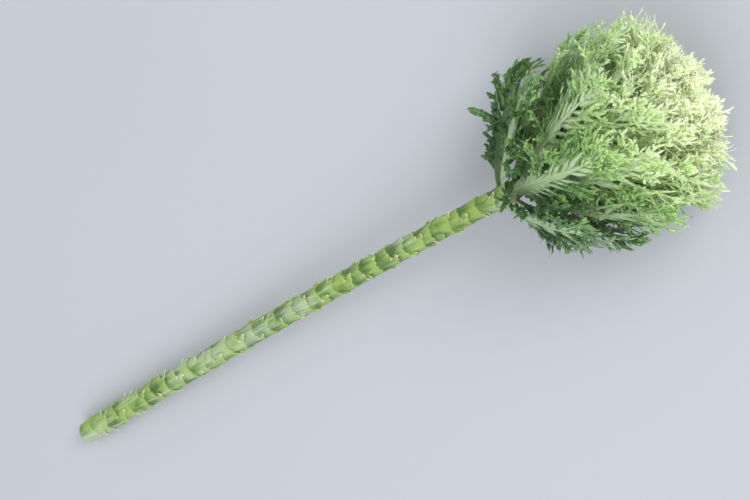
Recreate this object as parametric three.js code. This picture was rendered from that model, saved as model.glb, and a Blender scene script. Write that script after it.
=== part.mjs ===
// One cut stem of ornamental kale, lying on its side on a flat surface.
// Millimetres, +Z up. +X runs from the cut end towards the head. The origin is on the
// resting surface, under the middle of the bounding box.
//
// The plant is laid out in its own upright terms first: a height along the stem's axis,
// an azimuth round it (0 faces away from the resting surface) and a distance from it.
// Every leaf lies on its own cup-shaped shell round the axis. The shells are nested,
// so leaves that overlap in azimuth never meet.
import * as THREE from "three";

// ---- Driving dimensions: the stem ----
const BARE_LENGTH = 415; // cut end to the lowest leaf
const CROWN_LENGTH = 112; // lowest leaf to the growing tip
const CUT_RADIUS = 8.4;
const CROWN_RADIUS = 7.2; // where the leaves begin
const APEX_RADIUS = 1.6; // at the growing tip
const CUT_HEIGHT = 8.6; // axis above the resting surface at the cut end
const REST_HEIGHT = 54; // axis above the resting surface at REST_STATION
const REST_STATION = 520; // height along the axis at which the head rests
const BEND_UP = 8; // how far the cut end bends away from the head's straight line
const BEND_SIDE = 13;

// ---- Driving dimensions: the spiral of leaves, which the scars continue downwards ----
const TURN = 137.5; // degrees from one leaf or scar to the next
const FIRST_AZIMUTH = 259; // degrees, of the lowest leaf

// ---- Driving dimensions: leaf scars on the bare stem ----
const SCAR_FIRST = 16; // height of the lowest scar
const SCAR_PITCH = 5.1; // height gained from one scar to the next
const SCAR_SWELL = 1.5; // how far the leaf base stands out at the scar's ledge
const SCAR_RUN = 13; // how far down the stem the swelling fades out
const SCAR_HALF_ANGLE = 74; // degrees

// ---- Driving dimensions: the head ----
const LEAF_COUNT = 56;
const HEART_LEAN = 10; // degrees between the innermost leaf and the axis
const SPREAD_LEAN = 24; // added from the innermost leaf to the outermost
const COLLAR_LEAN = 8; // added again to the lowest few leaves
const FLOOR_LEAN = 22.5; // the most that a leaf leans towards the surface below the head
const DOME_HEIGHT = 588; // top of the head above the cut end, on the axis
const DOME_DROP = 34; // how much lower the dome is, DOME_REACH out from the axis
const DOME_REACH = 70;
const BASE_CLEARANCE = 1.75; // stem's surface to the middle of a leaf's base

const DEGREE = Math.PI / 180;
const STEM_SIDES = 12;
const SHELL_RUN = 124; // way along a shell in which it turns from its steepest to its straightest
const SHELL_STEPS = 16; // midpoints in the sum that follows a shell's curve
const PRESS_SHARPNESS = 6; // how abruptly leaves give way to the surface below

// Leaf kinds from the lowest leaf to the heart. longest limits a leaf's length, width is
// half the lobed blade's width, thickness is at the midrib's base, and lobes are counted
// per side.
const LEAF_KINDS = [
  { name: "collar_leaf", count: 5, longest: 96, width: 31, thickness: 2.5, lobes: 4, colour: 0x4f7a48 },
  { name: "outer_leaf", count: 16, longest: 124, width: 36, thickness: 2.3, lobes: 4, colour: 0x7ba068 },
  { name: "middle_leaf", count: 18, longest: 124, width: 28, thickness: 1.7, lobes: 4, colour: 0xb4cf8e },
  { name: "inner_leaf", count: 17, longest: 124, width: 19, thickness: 1.1, lobes: 3, colour: 0xdbe9b4 },
];

// ---- The stem's axis, as it lies ----
const SLOPE = Math.atan2(REST_HEIGHT - (CUT_HEIGHT - BEND_UP), REST_STATION);
const ALONG = new THREE.Vector3(Math.cos(SLOPE), 0, Math.sin(SLOPE));
const UPWARD = new THREE.Vector3(-Math.sin(SLOPE), 0, Math.cos(SLOPE));
const SIDEWAYS = new THREE.Vector3(0, -1, 0);

// The axis point at a height: a straight line through the head, which bends off
// as the square of the distance below the crown.
function axisPoint(height) {
  const below = Math.max(0, 1 - height / BARE_LENGTH) ** 2;
  return new THREE.Vector3(0, 0, CUT_HEIGHT - BEND_UP)
    .addScaledVector(ALONG, height)
    .addScaledVector(UPWARD, BEND_UP * below)
    .addScaledVector(SIDEWAYS, BEND_SIDE * below);
}

// The unit vector that points away from the axis at an azimuth in radians.
function outward(azimuth) {
  return new THREE.Vector3()
    .addScaledVector(UPWARD, Math.cos(azimuth))
    .addScaledVector(SIDEWAYS, Math.sin(azimuth));
}

// The azimuth of a leaf in radians, counted from the lowest leaf. Scars count down
// from there.
function spiralAzimuth(index) {
  return (FIRST_AZIMUTH + index * TURN) * DEGREE;
}

function stemRadius(height) {
  if (height <= BARE_LENGTH) {
    return THREE.MathUtils.lerp(CUT_RADIUS, CROWN_RADIUS, height / BARE_LENGTH);
  }
  const share = (height - BARE_LENGTH) / CROWN_LENGTH;
  return THREE.MathUtils.lerp(CROWN_RADIUS, APEX_RADIUS, share ** 1.5);
}

// A closed skin over a row of closed rings of points, each ring turning anticlockwise
// about the direction in which the rings follow each other.
function skin(rings) {
  const around = rings[0].length;
  const points = rings.flat();
  const faces = [];
  for (let row = 0; row + 1 < rings.length; row++) {
    for (let column = 0; column < around; column++) {
      const next = (column + 1) % around;
      const [a, b] = [row * around + column, row * around + next];
      const [c, d] = [a + around, b + around];
      faces.push(a, b, d, a, d, c);
    }
  }
  for (const [row, flipped] of [[0, true], [rings.length - 1, false]]) {
    const centre = rings[row].reduce((sum, p) => sum.add(p), new THREE.Vector3());
    const hub = points.push(centre.divideScalar(around)) - 1;
    for (let column = 0; column < around; column++) {
      const a = row * around + column;
      const b = row * around + ((column + 1) % around);
      faces.push(...(flipped ? [hub, b, a] : [hub, a, b]));
    }
  }
  const geometry = new THREE.BufferGeometry().setFromPoints(points);
  geometry.setIndex(faces);
  geometry.computeVertexNormals();
  return geometry;
}

// ---- The stem and its leaf scars ----
const SCAR_COUNT = Math.floor((BARE_LENGTH - SCAR_FIRST) / SCAR_PITCH);
const LEDGE = 0.8; // height in which the stem steps back in above a scar
const CROWN_RINGS = 8;

// How far the old leaf bases stand out: each swells towards its ledge and fades
// to either side, and the one that stands out furthest counts.
function swelling(azimuth, height) {
  let most = 0;
  for (let scar = 0; scar < SCAR_COUNT; scar++) {
    const below = SCAR_FIRST + scar * SCAR_PITCH - height;
    if (below < 0 || below > SCAR_RUN) continue;
    const turn = azimuth - spiralAzimuth(scar - SCAR_COUNT);
    const aside = Math.abs(Math.atan2(Math.sin(turn), Math.cos(turn)));
    const across = Math.max(0, 1 - (aside / (SCAR_HALF_ANGLE * DEGREE)) ** 2);
    most = Math.max(most, SCAR_SWELL * across * (1 - below / SCAR_RUN));
  }
  return most;
}

function stemRing(height) {
  return Array.from({ length: STEM_SIDES }, (_, side) => {
    const azimuth = (side / STEM_SIDES) * 2 * Math.PI;
    const radius = stemRadius(height) + swelling(azimuth, height);
    return axisPoint(height).addScaledVector(outward(azimuth), radius);
  });
}

// The stem's rings lie at each scar's ledge and just above it, where the stem steps
// back in, and evenly along the crown.
function makeStem() {
  const heights = [0, SCAR_FIRST / 2];
  for (let scar = 0; scar < SCAR_COUNT; scar++) {
    const height = SCAR_FIRST + scar * SCAR_PITCH;
    heights.push(height, height + LEDGE);
  }
  for (let ring = 0; ring <= CROWN_RINGS; ring++) {
    heights.push(BARE_LENGTH + (ring / CROWN_RINGS) * CROWN_LENGTH);
  }
  return skin(heights.map(stemRing));
}

// ---- The leaves' nested shells ----
// A shell's mean lean from the axis in radians, at an azimuth. rank is 0 for the lowest
// leaf and 1 for the innermost. Towards the surface below, the lean closes in smoothly
// on FLOOR_LEAN, so the head is flattened where it lies.
function shellLean(rank, azimuth) {
  const collar = COLLAR_LEAN * Math.exp(-rank / 0.06);
  const free = HEART_LEAN + SPREAD_LEAN * (1 - rank) ** 0.9 + collar;
  const pressed = (free * Math.max(0, -Math.cos(azimuth))) / FLOOR_LEAN;
  return free * (1 + pressed ** PRESS_SHARPNESS) ** (-1 / PRESS_SHARPNESS) * DEGREE;
}

// Leaves flare widely from the stem, and rise almost along the axis towards their tips.
function leanShare(run) {
  const share = run / SHELL_RUN;
  return 1.5 - 0.6 * share - 0.5 * share ** 2;
}

function leafBase(rank) {
  const height = BARE_LENGTH + 4 + (CROWN_LENGTH - 8) * (1.15 * rank - 0.15 * rank ** 2);
  return { height, radius: stemRadius(height) + BASE_CLEARANCE * (1 - 0.4 * rank) };
}

// The point on a shell's curve at an azimuth, a way along it of run: the base plus
// the run times the mean direction, summed at midpoints.
function shellPoint(rank, azimuth, run) {
  const base = leafBase(rank);
  const lean = shellLean(rank, azimuth);
  let [out, up] = [0, 0];
  for (let step = 0; step < SHELL_STEPS; step++) {
    const angle = lean * leanShare((run * (step + 0.5)) / SHELL_STEPS);
    out += Math.sin(angle) / SHELL_STEPS;
    up += Math.cos(angle) / SHELL_STEPS;
  }
  const angle = lean * leanShare(run);
  return { radius: base.radius + run * out, height: base.height + run * up, angle };
}

// A leaf's length takes its tip to the head's dome, within its kind's limit.
function leafLength(rank, longest) {
  let length = 20;
  for (let round = 0; round < 30; round++) {
    const tip = shellPoint(rank, 0, length);
    const dome = DOME_HEIGHT - DOME_DROP * (tip.radius / DOME_REACH) ** 2;
    length += 0.5 * (dome - tip.height);
  }
  return Math.min(length, longest);
}

// ---- Leaves ----
const STALK_SHARE = 0.14; // of a leaf's length, before the blade widens
const FIRST_LOBE = 0.2; // share of the length at the lowest lobe, and at the tip
const LAST_LOBE = 0.98;
const NOTCH = 0.72; // width left between two lobes
const SWEEP = 0.35; // how far the blade's sides lead its midrib, per width
const WIDEST_TURN = 42; // degrees that half a blade may wrap round the axis
const TIP_THINNING = 0.55; // share of its thickness that a leaf loses towards its tip
const EDGE_THINNING = 0.5;
const THINNEST = 0.7;

// Half the width of the blade's outline at a share of its length: a narrow stalk, then
// an egg shape that is widest past the middle.
function outline(share, kind) {
  const stalk = 1.3 + 0.085 * kind.width;
  const blade = Math.max(0, (share - STALK_SHARE) / (1 - STALK_SHARE));
  return stalk + (kind.width - stalk) * Math.sin(Math.PI * blade ** 1.15 * 0.86) ** 0.9;
}

// A leaf is a slab round its own shell. Its rings run across the blade and back, at
// the widest part of each lobe and at the notch after it.
function makeLeaf(index, kind) {
  const rank = index / (LEAF_COUNT - 1);
  const length = leafLength(rank, kind.longest);
  const azimuth = spiralAzimuth(index);
  const columns = kind.lobes > 3 ? [-1, -0.5, 0, 0.5, 1] : [-1, 0, 1];
  const rows = [{ share: 0, width: 1 }, { share: STALK_SHARE / 2, width: 1 }];
  for (let row = 0; row <= 2 * kind.lobes; row++) {
    const share = THREE.MathUtils.lerp(FIRST_LOBE, LAST_LOBE, row / (2 * kind.lobes));
    rows.push({ share, width: row % 2 === 1 ? 1 : NOTCH });
  }
  const place = (row, column, side) => {
    const half = outline(row.share, kind) * row.width;
    const lead = row.share > STALK_SHARE ? SWEEP * Math.abs(column) * half : 0;
    const run = row.share * length + lead;
    const middle = shellPoint(rank, azimuth, run);
    const turn = Math.min(half / middle.radius, WIDEST_TURN * DEGREE) * column;
    const spot = shellPoint(rank, azimuth + turn, run);
    const thinning = (1 - TIP_THINNING * row.share) * (1 - EDGE_THINNING * column ** 2);
    const offset = (side * Math.max(kind.thickness * thinning, THINNEST)) / 2;
    const radius = spot.radius - offset * Math.cos(spot.angle);
    const height = spot.height + offset * Math.sin(spot.angle);
    return axisPoint(height).addScaledVector(outward(azimuth + turn), radius);
  };
  const rings = rows.map((row) => {
    const outside = columns.map((column) => place(row, column, -1));
    const inside = columns.map((column) => place(row, column, 1));
    return [...outside, ...inside.reverse()];
  });
  return skin(rings);
}

// The unopened heart: a closed bud over the growing tip, inside the innermost shell.
const HEART_FOOT = 6; // along the innermost shell
const HEART_TOP = 44;
const HEART_GAP = 1.3; // to the innermost shell
const HEART_SIDES = 10;
const HEART_ROWS = 6;

function makeHeart() {
  const rings = [];
  for (let row = 0; row <= HEART_ROWS; row++) {
    const run = THREE.MathUtils.lerp(HEART_FOOT, HEART_TOP, row / HEART_ROWS);
    const rounding = Math.sqrt(1 - (row / (HEART_ROWS + 1)) ** 4);
    rings.push(
      Array.from({ length: HEART_SIDES }, (_, side) => {
        const azimuth = (side / HEART_SIDES) * 2 * Math.PI;
        const spot = shellPoint(1, azimuth, run);
        const radius = (spot.radius - HEART_GAP) * rounding;
        return axisPoint(spot.height).addScaledVector(outward(azimuth), radius);
      }),
    );
  }
  return skin(rings);
}

// ---- Putting the plant together ----
function finish(colour, roughness) {
  return new THREE.MeshStandardMaterial({ color: colour, roughness, metalness: 0 });
}

function named(name, geometry, material) {
  const mesh = new THREE.Mesh(geometry, material);
  mesh.name = name;
  return mesh;
}

const kale = new THREE.Group();
kale.add(named("stem", makeStem(), finish(0x8fb060, 0.55)));
kale.add(named("heart", makeHeart(), finish(0xe6edbd, 0.5)));
let index = 0;
for (const kind of LEAF_KINDS) {
  const material = finish(kind.colour, 0.5);
  for (let number = 1; number <= kind.count; number++, index++) {
    const name = `${kind.name}_${String(number).padStart(2, "0")}`;
    kale.add(named(name, makeLeaf(index, kind), material));
  }
}

// The group is moved so that the plant stands on the surface, centred on the origin.
const bounds = new THREE.Box3().setFromObject(kale);
const centre = bounds.getCenter(new THREE.Vector3());
kale.position.set(-centre.x, -centre.y, -bounds.min.z);

export default kale;
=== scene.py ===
"""The looks of one cut stem of ornamental kale, lying on its side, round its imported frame.

Shapes are worked out in millimetres, in the plant's own terms: a height along the stem's
axis, an azimuth round it (0 faces away from the resting surface) and a distance from it.
Each leaf is drawn flat first, as a midrib plate that forks into lobes: along the leaf,
across it, and above its face, which is the side towards the axis. Then it is bent onto
its own cup-shaped shell round the axis, so that leaves never grow through each other.
"""

import logging
import math
from dataclasses import dataclass, field
from enum import Enum

import bpy
import numpy as np
from mathutils import Matrix, Vector


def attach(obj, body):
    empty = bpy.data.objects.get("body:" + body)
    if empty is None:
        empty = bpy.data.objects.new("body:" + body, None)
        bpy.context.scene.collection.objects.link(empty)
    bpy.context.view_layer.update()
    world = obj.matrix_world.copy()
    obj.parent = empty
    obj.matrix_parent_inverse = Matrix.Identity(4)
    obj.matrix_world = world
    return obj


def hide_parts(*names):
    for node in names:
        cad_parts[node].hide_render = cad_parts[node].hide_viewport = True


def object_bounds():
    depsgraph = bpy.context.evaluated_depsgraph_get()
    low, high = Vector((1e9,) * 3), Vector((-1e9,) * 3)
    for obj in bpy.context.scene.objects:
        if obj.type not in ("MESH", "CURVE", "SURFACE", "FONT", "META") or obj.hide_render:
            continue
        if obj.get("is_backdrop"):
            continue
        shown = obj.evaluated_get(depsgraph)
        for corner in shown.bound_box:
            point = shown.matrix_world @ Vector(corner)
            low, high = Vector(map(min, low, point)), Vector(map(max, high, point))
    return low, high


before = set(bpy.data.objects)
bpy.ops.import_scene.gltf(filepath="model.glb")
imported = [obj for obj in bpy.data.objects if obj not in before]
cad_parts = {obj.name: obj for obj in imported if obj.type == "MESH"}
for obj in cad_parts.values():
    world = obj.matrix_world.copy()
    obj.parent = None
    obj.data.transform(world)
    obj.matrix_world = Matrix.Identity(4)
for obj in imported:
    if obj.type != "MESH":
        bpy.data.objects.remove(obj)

LOG = logging.getLogger("kale")
MM = 0.001
LEAST_GAP = 0.2 * MM  # between the stem and the resting surface
BAKE_MAP = "OFBake"  # the UV map that a piece's finish is laid out on

Colour = tuple[float, float, float, float]  # linear red, green and blue, and alpha


def smooth(low: float, high: float, value: np.ndarray) -> np.ndarray:
    """A soft step from 0 at low to 1 at high: 3t^2 - 2t^3 of the share t between them."""
    t = np.clip((value - low) / (high - low), 0.0, 1.0)
    return t * t * (3 - 2 * t)


def colour(red: float, green: float, blue: float) -> Colour:
    """Screen values from 0 to 255 as a linear colour with alpha 1, by the sRGB curve.

    Args:
        red: The red value.
        green: The green value.
        blue: The blue value.

    Returns:
        The linear red, green and blue, and 1.
    """
    shares = np.array([red, green, blue]) / 255
    low, high = shares / 12.92, ((shares + 0.055) / 1.055) ** 2.4
    return (*(float(x) for x in np.where(shares <= 0.04045, low, high)), 1.0)


def corners_of(node: bpy.types.Object) -> np.ndarray:
    """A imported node's vertices.

    Args:
        node: The node's object.

    Returns:
        Points in metres (vertices, 3).
    """
    points = np.zeros(len(node.data.vertices) * 3)
    node.data.vertices.foreach_get("co", points)
    return points.reshape(-1, 3)


# ---- The plant's own terms ----


class Kind(Enum):
    """The kinds of leaf, from the lowest on the stem to the innermost."""

    COLLAR = "collar_leaf"
    OUTER = "outer_leaf"
    MIDDLE = "middle_leaf"
    INNER = "inner_leaf"
    HEART = "heart"


@dataclass(frozen=True)
class Growth:
    """How the plant grows: its axis, its stem's radius and its leaves' nested shells.

    The numbers are the part's own driving dimensions, in millimetres and degrees.
    """

    bare_length: float = 415
    crown_length: float = 112
    cut_radius: float = 8.4
    crown_radius: float = 7.2  # where the crown begins
    apex_radius: float = 1.6
    cut_height: float = 8.6  # of the cut face's middle over the resting surface
    rest_height: float = 54  # of the axis at rest_station
    rest_station: float = 520
    bend_up: float = 8  # how far the stem's bend lifts its cut end
    bend_side: float = 13
    turn: float = 137.5  # from one leaf or scar to the next
    first_azimuth: float = 259
    scar_first: float = 16  # the lowest scar's height
    scar_pitch: float = 5.1
    leaf_count: int = 56
    heart_lean: float = 10  # the innermost leaves' lean from the axis
    spread_lean: float = 24  # how much further the lowest leaves lean
    collar_lean: float = 8  # and the collar's beyond those
    floor_lean: float = 22.5  # what the resting surface leaves room for
    dome_height: float = 588
    dome_drop: float = 34  # how much lower the dome is at dome_reach from the axis
    dome_reach: float = 70
    base_clearance: float = 1.75  # between the stem and the leaves' feet
    press_sharpness: int = 6
    shell_run: float = 124
    shell_steps: int = 16
    widest_turn: float = 66  # degrees that a leaf's side may wrap round the axis
    thinnest_bed: float = 3.0  # within which what hangs lower is laid on the surface
    free_radius: float = 62.0  # beyond which leaves are held in, up to full_radius
    full_radius: float = 84.0
    shift: tuple[float, float, float] = (0.0, 0.0, 0.0)

    COLLAR_FADE = 0.06  # the rank over which the collar's own lean fades
    BASE_INSET = 4  # how far inside the crown's two ends leaves leave it
    LONGEST_SHARE = 1.1  # of shell_run, to which a shell's curve is worked out
    LENGTH_GUESS, LENGTH_ROUNDS, LENGTH_STEP = 20.0, 30, 0.5  # how a leaf's length is sought
    LEAST_RADIUS = 5.0  # at which a leaf's width is still taken round the axis
    FACE_DEPTH = 0.5  # from the cut end, within which a corner is on its face

    @property
    def slope(self) -> float:
        """The axis's climb from the cut end to the head, in radians."""
        return math.atan2(self.rest_height - (self.cut_height - self.bend_up), self.rest_station)

    @property
    def along(self) -> np.ndarray:
        """The axis's direction."""
        return np.array([math.cos(self.slope), 0.0, math.sin(self.slope)])

    @property
    def upward(self) -> np.ndarray:
        """Away from the resting surface, square to the axis."""
        return np.array([-math.sin(self.slope), 0.0, math.cos(self.slope)])

    @property
    def sideways(self) -> np.ndarray:
        """Square to the axis and level."""
        return np.array([0.0, -1.0, 0.0])

    @property
    def scar_count(self) -> int:
        """How many leaf scars the bare stem has."""
        return math.floor((self.bare_length - self.scar_first) / self.scar_pitch)

    def axis_point(self, height: np.ndarray) -> np.ndarray:
        """The axis at a height: straight through the head, bending off below the crown.

        Args:
            height: Heights along the axis.

        Returns:
            Points: the straight line, plus the bend times (1 - height / bare_length)^2.
        """
        height = np.asarray(height, float)[..., None]
        below = np.maximum(0, 1 - height / self.bare_length) ** 2
        foot = np.array([0.0, 0.0, self.cut_height - self.bend_up])
        bend = self.bend_up * self.upward + self.bend_side * self.sideways
        return foot + self.along * height + bend * below

    def outward(self, azimuth: np.ndarray) -> np.ndarray:
        """The unit vectors that point away from the axis at azimuths in radians."""
        azimuth = np.asarray(azimuth, float)[..., None]
        return self.upward * np.cos(azimuth) + self.sideways * np.sin(azimuth)

    def spiral(self, index: np.ndarray) -> np.ndarray:
        """The azimuths in radians of leaves counted from the lowest, or of scars below 0."""
        return np.radians(self.first_azimuth + np.asarray(index, float) * self.turn)

    def stem_radius(self, height: np.ndarray) -> np.ndarray:
        """The smooth stem's radius.

        Args:
            height: Heights along the axis.

        Returns:
            Radii: a straight taper, then one as x^1.5 for a share x of the crown.
        """
        height = np.asarray(height, float)
        bare = np.clip(height / self.bare_length, 0, 1)
        crown = np.clip((height - self.bare_length) / self.crown_length, 0, 1) ** 1.5
        lower = self.cut_radius + (self.crown_radius - self.cut_radius) * bare
        return lower + (self.apex_radius - self.crown_radius) * crown

    def lean(self, rank: float, azimuth: np.ndarray) -> np.ndarray:
        """A shell's mean lean from the axis, closing in on the surface below.

        Args:
            rank: 0 for the lowest leaf and 1 for the innermost.
            azimuth: Azimuths in radians.

        Returns:
            Radians. The free lean is the heart's, with (1 - rank)^0.9 of the spread and
            exp(-rank / fade) of the collar's. It is taken times (1 + p^n)^(-1/n), where
            p is how hard the resting surface presses there.
        """
        free = self.heart_lean + self.spread_lean * (1 - rank) ** 0.9
        free += self.collar_lean * math.exp(-rank / self.COLLAR_FADE)
        pressed = free * np.maximum(0, -np.cos(azimuth)) / self.floor_lean
        sharp = self.press_sharpness
        return np.radians(free * (1 + pressed**sharp) ** (-1 / sharp))

    def base(self, rank: float) -> tuple[float, float]:
        """The height and the radius at which a leaf leaves the stem.

        Args:
            rank: The leaf's rank.

        Returns:
            The height, whose climb up the crown is 1.15 * rank - 0.15 * rank^2, and the
            radius, which stands off the stem by the clearance times 1 - 0.4 * rank.
        """
        climb = 1.15 * rank - 0.15 * rank**2
        inset = self.BASE_INSET
        height = self.bare_length + inset + (self.crown_length - 2 * inset) * climb
        return height, float(self.stem_radius(height)) + self.base_clearance * (1 - 0.4 * rank)

    @staticmethod
    def leaning(lean: np.ndarray, share: np.ndarray) -> np.ndarray:
        """A shell's angle at a share x of its curve: its lean times 1.5 - 0.6x - 0.5x^2."""
        return lean * (1.5 - 0.6 * share - 0.5 * share**2)

    def shell(
        self, rank: float, azimuth: np.ndarray, run: np.ndarray
    ) -> tuple[np.ndarray, np.ndarray, np.ndarray]:
        """Where a shell's curve is, a way along it.

        Args:
            rank: The leaf's rank.
            azimuth: Azimuths in radians.
            run: Ways along the curve.

        Returns:
            Radius, height and angle from the axis. The curve's mean direction up to
            there is summed at the midpoints of shell_steps stretches.
        """
        height, radius = self.base(rank)
        lean = self.lean(rank, azimuth)
        share = np.minimum(run / self.shell_run, self.LONGEST_SHARE)
        out, up = 0.0, 0.0
        for step in range(self.shell_steps):
            angle = self.leaning(lean, share * (step + 0.5) / self.shell_steps)
            out = out + np.sin(angle) / self.shell_steps
            up = up + np.cos(angle) / self.shell_steps
        return radius + run * out, height + run * up, self.leaning(lean, share)

    def leaf_length(self, rank: float, longest: float) -> float:
        """The length that takes a leaf's tip to the head's dome.

        Args:
            rank: The leaf's rank.
            longest: The most that it may be.

        Returns:
            The length. The dome at a radius r is drop * (r / reach)^2 below its top.
        """
        length = self.LENGTH_GUESS
        for _ in range(self.LENGTH_ROUNDS):
            radius, height, _ = self.shell(rank, np.zeros(1), np.full(1, length))
            dome = self.dome_height - self.dome_drop * (radius[0] / self.dome_reach) ** 2
            length += self.LENGTH_STEP * (dome - height[0])
        return min(length, longest)

    def bent(self, leaf: "Seat", flat: np.ndarray) -> tuple[np.ndarray, np.ndarray]:
        """Bends a leaf that was drawn flat onto its shell.

        Args:
            leaf: The leaf's seat on the stem.
            flat: Points (along, across, above) in millimetres.

        Returns:
            Points in metres, in the frame, and how far up the head each is, from 0 at the
            lowest leaf to 1 at the dome. Across becomes an azimuth, a * tanh(w / r / a)
            for a way w at a radius r, so that no leaf wraps further than a. A radius r
            over the free one f becomes f + m * tanh((r - f) / m), for the margin m.
        """
        run, across, above = flat[..., 0], flat[..., 1], flat[..., 2]
        middle, _, _ = self.shell(leaf.rank, np.full(run.shape, leaf.azimuth), run)
        widest = math.radians(self.widest_turn)
        middle = np.maximum(middle * leaf.squeeze, self.LEAST_RADIUS)
        azimuth = leaf.azimuth + widest * np.tanh(across / middle / widest)
        radius, height, angle = self.shell(leaf.rank, azimuth, run)
        radius = radius * leaf.squeeze - above * np.cos(angle)
        height = height + above * np.sin(angle)
        margin = self.full_radius - self.free_radius
        held = self.free_radius + margin * np.tanh((radius - self.free_radius) / margin)
        radius = np.where(radius > self.free_radius, held, radius)
        points = self.axis_point(height) + self.outward(azimuth) * radius[..., None]
        climb = (height - self.bare_length) / (self.dome_height - self.bare_length)
        return self.settled(points), climb

    def settled(self, points: np.ndarray) -> np.ndarray:
        """Points in the plant's terms as metres in the frame, laid on the surface.

        Args:
            points: Points in millimetres, before the plant is shifted into the frame.

        Returns:
            The points in metres. Below a thin bed t over the surface, a height z
            becomes t * exp((z - t) / t), which never reaches the surface.
        """
        points = points + np.array(self.shift)
        bed = self.thinnest_bed
        z = points[..., 2]
        points[..., 2] = np.where(z < bed, bed * np.exp(np.minimum(z - bed, 0) / bed), z)
        return points * MM

    @classmethod
    def in_frame(cls) -> "Growth":
        """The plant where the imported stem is.

        Returns:
            The plant, whose shift is from its own cut face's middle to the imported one's.
        """
        points = np.unique(np.round(corners_of(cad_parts["stem"]) / MM, 3), axis=0)
        plant = cls()
        station = points @ plant.along
        middle = points[station < station.min() + cls.FACE_DEPTH].mean(0)
        return cls(shift=tuple(middle - plant.axis_point(0.0)))


@dataclass(frozen=True)
class Seat:
    """Where one leaf sits: its rank, length, azimuth, and how far its shell is squeezed in."""

    rank: float
    length: float
    azimuth: float
    squeeze: float = 1.0


# ---- Meshes ----

Patch = tuple[float, float, float, float]  # a part of the bake map: left, low, width, height
WHOLE_MAP: Patch = (0.0, 0.0, 1.0, 1.0)


def cells(count: int, patch: Patch) -> np.ndarray:
    """Cuts a patch of the bake map into a square grid, with a cell for each of count tubes.

    Args:
        count: How many cells are needed.
        patch: The patch that they share.

    Returns:
        The cells (count, 4), each as a patch.
    """
    left, low, width, height = patch
    rows = math.ceil(math.sqrt(count))
    number = np.arange(count)
    size = np.array([width, height]) / rows
    corner = np.stack([left + number % rows * size[0], low + number // rows * size[1]], -1)
    return np.concatenate([corner, np.broadcast_to(size, (count, 2))], axis=1)


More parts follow.
